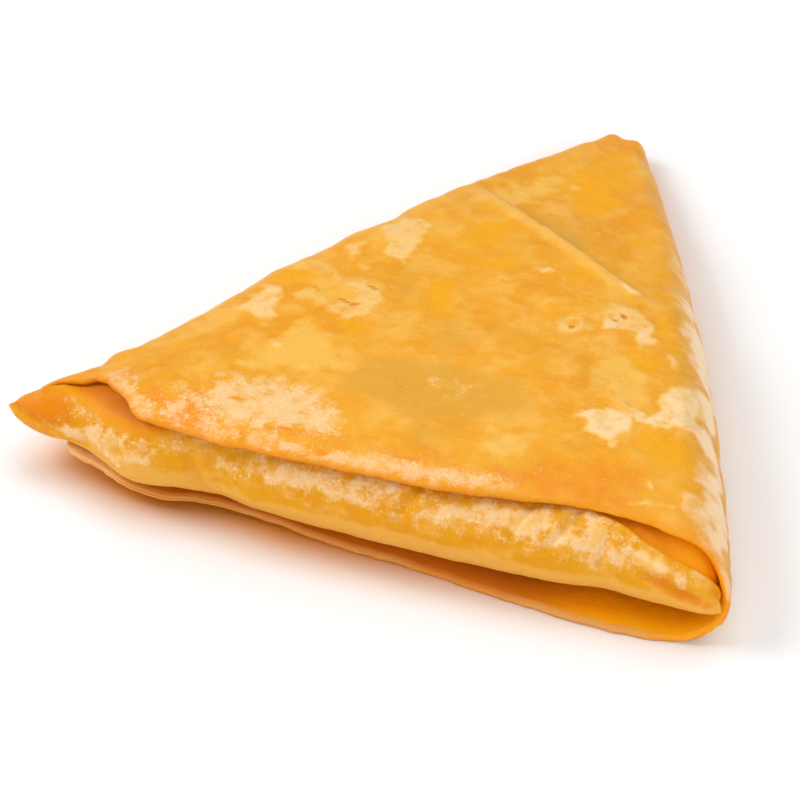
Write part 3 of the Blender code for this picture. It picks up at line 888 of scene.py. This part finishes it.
# %% [markdown]
# ## The packet's own patches
#
# The roll is frosted with bubbles along its upper half, where the hot oil reached it, as far back
# as the envelope let it through. Below runs a band where the sheet stayed smooth and pale, and
# clear golden patches lie between the two. The patches are drawn on the roll as seen from the
# front, in mm of X and height, because from above a roll's face has no room for them. A few
# wrinkles run down it, and at the right end one runs along it, where the sheet's last fold was
# tucked in. Behind the crest there lies a shallow valley. At the tip the dough's upper layer ends
# in a small step above the lower one.

# %% Patches of the packet
ROLL_FROST = [
    (0.9, [(-45, 8.2), (-41, 9.2), (-38.2, 8.8), (-37.8, 7.9), (-43, 7.6)]),
    (0.8, [(-37.5, 9.2), (-36, 11.2), (-33.5, 11.4), (-28.6, 10.8), (-29, 9.6), (-32, 9.2)]),
    (0.9, [(-45.5, 8.6), (-41, 9.6), (-36, 10.4), (-30, 10.6), (-29.4, 8), (-34, 6.8), (-40, 7),
        (-45, 7.8)]),
    (0.6, -17.5, 9.9, 2.4, 0.6, 8),
    (0.9, [(-15, 10.2), (-14.6, 11.8), (-4.4, 13.2), (-3.8, 10), (-6, 9.9), (-9.4, 10.9)]),
    (0.9, [(-4.8, 10.6), (-4.6, 13.4), (6.6, 13.8), (6.8, 11), (0.2, 10.2)]),
    (0.9, [(7.8, 10.4), (10, 12.6), (20.4, 14), (21.4, 11.4), (14.3, 11.4)]),
    (1, [(20.4, 11.8), (20.6, 14), (26.9, 14), (26.8, 11.6), (24.8, 10.9)]),
    (0.9, [(26.5, 11), (27, 13.2), (31, 13.2), (31.2, 10.9), (28, 10.5)]),
    (1, [(31.2, 11.6), (31.4, 13.8), (33.4, 14), (35.4, 12.6), (34.6, 9.2), (33, 9.8)]),
    (0.8, [(35.2, 11), (35.4, 12.8), (39.8, 12.2), (40.4, 9.8), (37, 10)]),
    (0.7, 46.4, 10, 3.8, 0.7, -16),
]
ROLL_CREAM = [
    (0.9, 40.2, 11.4, 1.4, 0.6, -12), (0.9, 42.8, 10.9, 1.3, 0.6, -12), (0.6, 33.6, 12.6, 1.6, 0.8, 30),
    (0.5, 24, 12.8, 2.2, 0.9, 10),
]
ROLL_POOLS = [
    (0.9, -42.5, 7.2, 4.2, 0.7, -8), (0.8, -33.8, 8.8, 2.6, 1, 10), (0.7, -28, 8.2, 1.8, 0.7, -15),
    (0.8, -26, 9.4, 2.8, 1.2, -8), (0.7, -22.6, 8.2, 0.9, 2.2, 10), (0.8, -19, 7.5, 2.6, 0.6, 5),
    (1, -13.2, 8, 2.4, 1.5, 5), (1, -8.8, 8, 2.8, 0.7, 5), (0.9, -2.4, 9.8, 1.8, 0.6, 3),
    (0.9, 2.6, 10.2, 2.8, 0.4, 3), (0.9, 8.4, 12.2, 0.9, 1.8, -20), (0.9, 9, 10, 2.6, 0.5, 5),
    (1, 16, 9.9, 4.8, 0.9, 0), (0.8, 24.6, 10.5, 2.4, 0.4, 3), (0.8, 27.6, 9.6, 4.2, 0.5, 0),
    (0.9, 40.2, 9, 1.4, 1.4, 0),
]
ROLL_TOASTED = [
    (1, [(-51.4, 8.9), (-49, 10.9), (-42.6, 11.6), (-40.6, 9.4), (-43.6, 8.4), (-47, 8.3)]),
    (0.6, 18.4, 9.4, 2.6, 0.7, 0), (0.5, 28.8, 12.8, 1.6, 0.8, 0), (1, 45.8, 8.5, 4.6, 0.8, -14),
]
# painted shade in the valley between two frosted bumps of the roll
ROLL_VALLEY_SHADE = [(0.8, 29.2, 12.9, 1.8, 1, 0)]
WRINKLES = [  # (start, end, width, depth), with X and height at each end
    ((-23.9, 10.6), (-21.9, 5.6), 0.8, 0.40), ((-20.6, 10.4), (-19, 6.4), 0.6, 0.15),
    ((8.7, 14), (6.7, 9.8), 0.7, 0.50), ((30.2, 13.6), (27.6, 10.8), 0.6, 0.45),
    ((35.2, 13.4), (34.8, 9.6), 0.5, 0.35), ((37.6, 12.8), (37.4, 10.2), 0.5, 0.25),
    ((24, 13.8), (22.6, 11), 0.5, 0.25), ((-35.2, 11.6), (-33.8, 8.2), 0.6, 0.25),
    ((-6.2, 12.8), (-6.8, 9.6), 0.6, 0.20), ((41, 9.6), (48.6, 7.7), 0.6, 0.45),
]
LAYER_LINE = [(-52.2, 8.5), (-45.5, 7.4)]  # the edge of the tip's upper layer: height by X
LAYER_FADE = (-43.0, -45.5)
LAYER_STEP = -0.6
CREST_FADE = (30.0, 38.0)  # from here to the right a lip runs along the crest, with a valley behind it
LIP_HEIGHT, LIP_WIDTH = 0.3, 0.7
VALLEY_DEPTH, VALLEY_WIDTH, VALLEY_PLACE = 0.4, 0.8, 1.5
RELIEF_FADE = (13.0, 9.0)  # deep inside, the packet is left plain
FROST_DEPTH = [  # how far behind the front the frost ends, by X
    (-46, 4), (-40, 2.2), (-36, 1.6), (-29, 1.8), (-23, 3.6), (-12, 4.6), (0, 5), (20, 4.6), (30, 5.4),
    (35, 4.6), (41, 2.4), (46.5, 2.4), (50.8, 3),
]

# %% Masks of the packet
SOFT_ROLL_PATCHES = {
    "blistered": (ROLL_CREAM, 0.4),
    "frosted": (ROLL_FROST, 0.8),
    "pooled": (ROLL_POOLS, 0.8),
    "toasted": (ROLL_TOASTED, 1.2),
    "dull": (ROLL_VALLEY_SHADE, 1.0),
}
FROST_X = (-46.0, -42.0)
LIGHT_FROST = 0.45
TIP_END_X = (-52.2, -50.6)
TIP_BEHIND = (3.0, 2.0)
LAYER_TOAST = 0.5
SMOOTH_HEIGHT = (8.6, 7.0)  # below this the roll is smooth and pale
HIDDEN_DEPTH = (0.0, 1.8)
SHADE_UNDER_RIM_DEPTH = (0.0, 2.4)
SHADE_UNDER_RIM_X = (49.0, 36.0)

x, y, z = packet.points.T
behind = packet.notes["behind"]
wobble_x, wobble_z = x + wobble(x, y, z, 13.1), z + 0.6 * wobble(x, y, z, 17.7)
past_frost = behind - through(FROST_DEPTH, x)
in_front = smooth_step(1.0, -0.3, past_frost + 0.4 * lumps(1.6, x, y, z, seed=16.1))
upper_half = smooth_step(8.0, 11.0, z + 0.8 * lumps(4.0, x, y, z, seed=12.7)) * smooth_step(*FROST_X, x)
over_line = z - through(LAYER_LINE, x)
at_tip = smooth_step(*LAYER_FADE, x) * smooth_step(*TIP_END_X, x) * smooth_step(*TIP_BEHIND, behind)
lower_layer = smooth_step(0.2, -0.2, over_line) * at_tip
roll_masks = {
    name: cover(patches, wobble_x, wobble_z, softness) * in_front
    for name, (patches, softness) in SOFT_ROLL_PATCHES.items()
}
roll_masks["frosted"] = np.maximum(roll_masks["frosted"], LIGHT_FROST * upper_half * in_front)
roll_masks["toasted"] = np.maximum(roll_masks["toasted"], LAYER_TOAST * lower_layer)
roll_masks["pale"] = smooth_step(*SMOOTH_HEIGHT, z + 0.4 * lumps(5.0, x, y, z)) * in_front
# behind the frost the packet takes the same inner orange, partly painted glow
roll_masks["inside"] = smooth_step(*HIDDEN_DEPTH, past_frost)
# painted shade under the upper rim, where the packet passes in behind the frost
roll_masks["shade_inside"] = smooth_step(*SHADE_UNDER_RIM_X, x) * smooth_step(*SHADE_UNDER_RIM_DEPTH, past_frost)
print("frost covers", round(float(roll_masks["frosted"].mean()) * 100.0, 1), "% of the packet's points")

# %% Relief of the packet
pebbles = lumps(1.3, x, y, z, seed=12.2) + 0.6 * lumps(0.7, x, y, z, seed=18.4)
pleats = lumps(1.7, x, y * 0.25, z * 0.25, seed=19.3)
texture = 0.6 * lumps(3.0, x, y, z, seed=15.9) + 0.3 * lumps(1.3, x, y, z, seed=10.1)
relief = 0.25 * lumps(7.0, x, y, z, seed=11.3) + 0.15 * texture
relief += roll_masks["frosted"] * (0.10 + 0.12 * pebbles + 0.14 * pleats)
relief += 0.1 * roll_masks["blistered"] - 0.12 * roll_masks["pooled"]
for start, end, width, depth in WRINKLES:
    off = to_line(start, end, x, z) / width
    relief -= depth * (bell(off, 1.0) - 0.3 * bell(off - 2.0, 1.0)) * in_front  # with a raised border
relief += LAYER_STEP * (smooth_step(-0.2, 0.2, over_line) - 0.5) * smooth_step(2.0, 0.5, over_line) * at_tip
at_right = smooth_step(*CREST_FADE, x) * packet.notes["upwards"]
relief += LIP_HEIGHT * bell(past_frost, LIP_WIDTH) * at_right
relief -= VALLEY_DEPTH * bell(past_frost - VALLEY_PLACE, VALLEY_WIDTH) * at_right
relief *= smooth_step(*RELIEF_FADE, behind)
roll_masks["texture"] = texture
packet.raise_by(relief)
packet_piece = packet.piece("filled_packet", roll_masks)

# %% [markdown]
# ## A small language for shaders
#
# Shader maths reads best as plain sums, and a graph drawn by hand would hide them in boxes. `Wire`
# wraps one socket, and the usual operators on it add the Math nodes. `Paste` is a material being
# mixed: its `node` method adds any other node, sets it up first and then wires its sockets, and
# its `lay` method lays one more colour over those that are there, like a glaze brushed on dough.

# %% Wires and pastes
class Wire:
    """A socket whose arithmetic adds Math nodes to its material."""

    def __init__(self, paste, socket):
        self.paste = paste
        self.socket = socket

    def math(self, operation, first, second):
        return self.paste.node("ShaderNodeMath", {"operation": operation}, {0: first, 1: second})

    def __add__(self, other):
        return self.math("ADD", self, other)

    __radd__ = __add__

    def __sub__(self, other):
        return self.math("SUBTRACT", self, other)

    def __rsub__(self, other):
        return self.math("SUBTRACT", other, self)

    def __mul__(self, other):
        return self.math("MULTIPLY", self, other)

    __rmul__ = __mul__

    def clamped(self):
        return self.paste.node("ShaderNodeClamp", {}, {0: self})

    def sharp(self, level, steepness):
        """A soft mask made steep about a level, from 0 to 1."""
        return ((self - level) * steepness + 0.5).clamped()


class Paste:
    """A material, the nodes that are mixed into it, and its colour so far."""

    def __init__(self, name, ground):
        self.colour = ground
        self.material = bpy.data.materials.new(name)
        self.material.use_nodes = True
        self.tree = self.material.node_tree
        self.shader = self.tree.nodes["Principled BSDF"]
        self.object_space = self.node("ShaderNodeTexCoord", {}, {}, "Object")

    def wire(self, socket, value):
        if isinstance(value, Wire):
            self.tree.links.new(value.socket, socket)
        else:
            socket.default_value = value

    def node(self, kind, settings, sockets, output=0):
        """Adds a node, sets it up, fills or links its sockets, and gives the wire it puts out."""
        node = self.tree.nodes.new(kind)
        for name, value in settings.items():
            setattr(node, name, value)
        for key, value in sockets.items():
            self.wire(node.inputs[key], value)
        return Wire(self, node.outputs[output])

    def mask(self, name):
        """A mask kept at the vertices. It is 0 all over a piece that hasn't got it."""
        return self.node("ShaderNodeAttribute", {"attribute_name": name}, {}, "Fac")

    def grain(self, size, detail=2.0, stretch=(1.0, 1.0, 1.0)):
        """Noise about 0, mostly from -0.25 to 0.25, with grains of a size in mm, drawn out by stretch."""
        scale = tuple(1.0 / (size * MM * length) for length in stretch)
        space = self.node("ShaderNodeMapping", {}, {"Vector": self.object_space, "Scale": scale})
        sockets = {"Vector": space, "Scale": 1.0, "Detail": detail}
        return self.node("ShaderNodeTexNoise", {}, sockets) - 0.5

    def lay(self, above, share):
        """Lays a colour over those that are there, as far as share says."""
        sockets = {0: share, 6: self.colour, 7: above}
        self.colour = self.node("ShaderNodeMix", {"data_type": "RGBA"}, sockets, 2)

    def finish(self, name, value):
        self.wire(self.shader.inputs[name], value)


# %% [markdown]
# ## Fried dough
#
# One recipe serves both pieces, with a few tones of its own for each. It starts from a golden
# ground whose tone drifts over centimetres, with streaks along the strip, and lays each kind of
# patch over it in turn. Finer noise is added to each mask first, so that its edge looks torn and
# not drawn, which would take very many more vertices. Light enters thin dough and comes out again
# nearby, so the surface scatters a little light below itself, more of the red than of the blue. A
# thin coat gives the crisp parts their glints, and more glints are painted into the colour as
# light specks and streaks. Some colours are painted light and shade as well: a painted glow on
# the inner faces, painted shade inside the mouth and in a few hollows, and a painted highlight on
# the step's crest. The finest bumps are too small to be worth vertices, and a Bump node gives those.

# %% Colours of the dough
def tone(red, green, blue):
    return (red, green, blue, 1.0)


GOLD = tone(0.82, 0.362, 0.022)
YOLK = tone(0.76, 0.335, 0.006)
DEEP_GOLD = tone(0.77, 0.295, 0.008)
LIGHT_GOLD = tone(0.87, 0.475, 0.085)
AMBER = tone(0.76, 0.245, 0.010)
CLEAR_GOLD = tone(0.86, 0.37, 0.002)
CLEAR_YELLOW = tone(0.79, 0.335, 0.001)
TOAST = tone(0.80, 0.26, 0.010)
TIP_TOAST = tone(0.74, 0.215, 0.001)
CREAM = tone(0.93, 0.63, 0.32)
FROST = tone(0.88, 0.56, 0.25)
# GLINT is painted highlight: tiny specks of light in the colour
GLINT = tone(1.0, 0.86, 0.58)
# a pale dry tone, pushed brighter on the right fold as painted light
DRY_AND_LIT = tone(1.0, 0.68, 0.38)
# GLINT_FLECK is painted highlight along thin streaks
GLINT_FLECK = tone(0.94, 0.58, 0.14)
# a greyish dull tone, also used as painted shade in hollows
DULL_SHADE_GOLD = tone(0.70, 0.345, 0.036)
SMOOTH_GOLD = tone(0.82, 0.41, 0.065)
BROWN = tone(0.62, 0.21, 0.006)
# INNER_GLOW_GOLD is the oily inside's deep orange, brightened as painted glow of light through the dough
INNER_GLOW_GOLD = tone(0.97, 0.37, 0.002)
# INNER_SHADE_BROWN is painted shade inside the mouth and under the rims
INNER_SHADE_BROWN = tone(0.58, 0.15, 0.008)
RIM_BROWN = tone(0.74, 0.35, 0.09)

ENVELOPE_TONES = {"ground": GOLD, "pale": LIGHT_GOLD, "pooled": CLEAR_GOLD, "toasted": TOAST}
PACKET_TONES = {"ground": YOLK, "pale": SMOOTH_GOLD, "pooled": CLEAR_YELLOW, "toasted": TIP_TOAST}
print(len(ENVELOPE_TONES), "tones differ between the envelope and the packet")

# %% The recipe
PATCH_LAYERS = [  # (mask, how far noise tears it, its level, its steepness, how much it covers)
    ("dull", 0.5, 0.5, 1.4, 0.8),
    ("pale", 0.7, 0.5, 1.8, 0.85),
    ("pooled", 0.9, 0.5, 1.8, 0.85),
    ("toasted", 1.0, 0.5, 1.8, 0.85),
    ("dry_and_lit", 0.6, 0.4, 1.8, 0.9),
]
ALONG_STRIP = (7.0, 1.0, 1.0)
GLINT_STRETCH = (5.0, 1.0, 1.0)
RIM_REACH = 0.7
RIM_STEEPNESS = 2.5
GLOSS = 0.12
COAT_ROUGHNESS = 0.3
SCATTER = 0.25
SCATTER_RADIUS = (1.0, 0.35, 0.08)
SCATTER_DEPTH = 2.0


def fried_dough(name, tones):
    paste = Paste(name, tones["ground"])
    drift = paste.grain(13.0, 3.0)
    cloud = paste.grain(5.0, 3.0)
    mottle = paste.grain(1.9, 4.0)
    fine = paste.grain(0.5, 3.0)
    dust = paste.grain(0.25, 1.0)
    streaks = paste.grain(0.9, 3.0, ALONG_STRIP)
    glint_streaks = paste.grain(0.3, 2.0, GLINT_STRETCH)
    texture = paste.mask("texture")
    tear = mottle * 1.2 + fine * 0.6

    # the ground
    deep = drift * 1.4 + streaks * 0.5 + mottle * 0.5 - texture * 0.3
    light = cloud * 1.4 + mottle * 0.7 + texture * 0.25
    paste.lay(DEEP_GOLD, deep.sharp(0.05, 2.4) * 0.7)
    paste.lay(LIGHT_GOLD, light.sharp(0.12, 2.6) * 0.65)
    paste.lay(AMBER, (streaks * 1.2 + fine * 0.6 - cloud * 0.6).sharp(0.24, 3.0) * 0.2)

    # the soft patches
    tones = {"dull": DULL_SHADE_GOLD, "dry_and_lit": DRY_AND_LIT, **tones}
    for mask, torn, level, steepness, share in PATCH_LAYERS:
        paste.lay(tones[mask], (paste.mask(mask) + tear * torn).sharp(level, steepness) * share)

    # the frost of tiny bubbles, which clear pools swallow, and painted highlight glints on it
    frost = paste.mask("frosted")
    frosty = (frost * 2.0).clamped()
    specks = (frost * 0.76 + mottle * 1.9 + fine * 0.9 + dust * 0.3).sharp(0.5, 2.0)
    specks = specks * (1.0 - paste.mask("pooled") * 0.8)
    glints = (dust * 1.2 + fine * 0.8 + mottle * 0.5).sharp(0.3, 8.0)
    paste.lay(FROST, specks * frosty * 0.85)
    # painted highlight specks
    paste.lay(GLINT, glints * frosty * 0.4)

    # the blisters: light at their rims, cream where they are crisp, with pits
    blister = paste.mask("blistered")
    cream = (blister + tear * 0.8).sharp(0.45, 2.4)
    crisp = (mottle * 1.4 + fine * 0.4 + texture * 0.3).sharp(-0.15, 2.0)
    pits = (fine * 0.9 - mottle * 1.5).sharp(0.26, 5.0)
    paste.lay(LIGHT_GOLD, cream * 0.9)
    paste.lay(CREAM, cream * crisp * (blister * 2.2 - 1.25).clamped())
    paste.lay(DEEP_GOLD, cream * pits * 0.6)

    # painted highlight streaks, amber specks, brown pits, the rims, and inside the painted glow and painted
    # shade
    # painted highlight streaks
    paste.lay(GLINT_FLECK, (glint_streaks + fine * 0.5 + mottle * 0.3).sharp(0.24, 6.0) * 0.3)
    paste.lay(AMBER, (fine * 0.5 - glint_streaks - mottle * 0.3).sharp(0.26, 5.0) * 0.08)
    paste.lay(BROWN, (paste.mask("creviced") + tear * 0.5).sharp(0.5, 3.0) * 0.8)
    # the rim's toasted orange, partly painted glow
    paste.lay(TOAST, paste.mask("rim") * 0.35)
    # painted glow on the inner faces
    paste.lay(INNER_GLOW_GOLD, paste.mask("inside"))
    # painted shade inside the mouth and under the rims
    paste.lay(INNER_SHADE_BROWN, paste.mask("shade_inside") * 0.9)
    near_rim = ((RIM_REACH - paste.mask("from_edge")) * RIM_STEEPNESS).clamped()
    paste.lay(RIM_BROWN, near_rim * paste.mask("rim_range") * 0.9)

    height = mottle * 0.22 + fine * 0.08 + dust * 0.03
    height = height + frost * (mottle * 0.2 + fine * 0.08) + cream * fine * 0.05
    bump = paste.node("ShaderNodeBump", {}, {"Strength": 1.0, "Distance": MM, "Height": height}, "Normal")
    coat = cream * 0.4 + specks * frost * 0.6 + paste.mask("dry_and_lit") * 0.6
    paste.finish("Base Color", paste.colour)
    paste.finish("Roughness", 0.42 + cream * 0.14 + frost * 0.1 - paste.mask("pooled") * 0.08)
    paste.finish("Normal", bump)
    paste.finish("Specular IOR Level", GLOSS)
    paste.finish("Coat Weight", coat.clamped())
    paste.finish("Coat Roughness", COAT_ROUGHNESS)
    paste.finish("Subsurface Weight", SCATTER)
    paste.finish("Subsurface Radius", SCATTER_RADIUS)
    paste.finish("Subsurface Scale", SCATTER_DEPTH * MM)
    print(name, "takes", len(paste.tree.nodes), "nodes")
    return paste.material


envelope_piece.data.materials.append(fried_dough("golden_dough", ENVELOPE_TONES))
packet_piece.data.materials.append(fried_dough("pale_dough", PACKET_TONES))

# %% [markdown]
# ## The table top
#
# Light that has passed through oily dough falls warm on a white table, and a render with few
# bounces loses most of that. The table is therefore tinted where little of the sky over it is open,
# as an Ambient Occlusion node tells, and mostly at the left, where the open side throws its glow.
# It belongs to the stage alone, so the part is the same on any other ground.

# %% Table top
TABLE_WHITE = tone(0.93, 0.93, 0.93)
WARM_SHADE = tone(0.70, 0.28, 0.02)
GLOW_REACH = 8.0
GLOW_SAMPLES = 8
GLOW_X = 50.0  # the table glows from here to the left, more and more over the next stretch
GLOW_FADE = 60.0

cloth = Paste("white_table", TABLE_WHITE)
reach = {"Distance": GLOW_REACH * MM}
openness = cloth.node("ShaderNodeAmbientOcclusion", {"samples": GLOW_SAMPLES}, reach, "AO")
to_right = cloth.node("ShaderNodeSeparateXYZ", {}, {0: cloth.object_space}, "X") * (1.0 / MM)
shade = 1.0 - openness
glow = shade * (shade + 0.8) * ((GLOW_X - to_right) * (1.0 / GLOW_FADE)).clamped()
cloth.lay(WARM_SHADE, glow.clamped())
cloth.finish("Base Color", cloth.colour)
cloth.finish("Roughness", 0.6)
cloth.finish("Specular IOR Level", 0.2)
table.data.materials.append(cloth.material)
print("the table glows up to", GLOW_REACH, "mm from the dough")

# %% [markdown]
# ## The pieces on their body
#
# Each piece rides on the part's one body and stands for the solid it was built around.

# %% Ride and replace
for piece, solid, finish in (
    (envelope_piece, "outer_envelope", "golden_dough"),
    (packet_piece, "inner_packet", "pale_dough"),
):
    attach(piece, "root")
    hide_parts(solid)
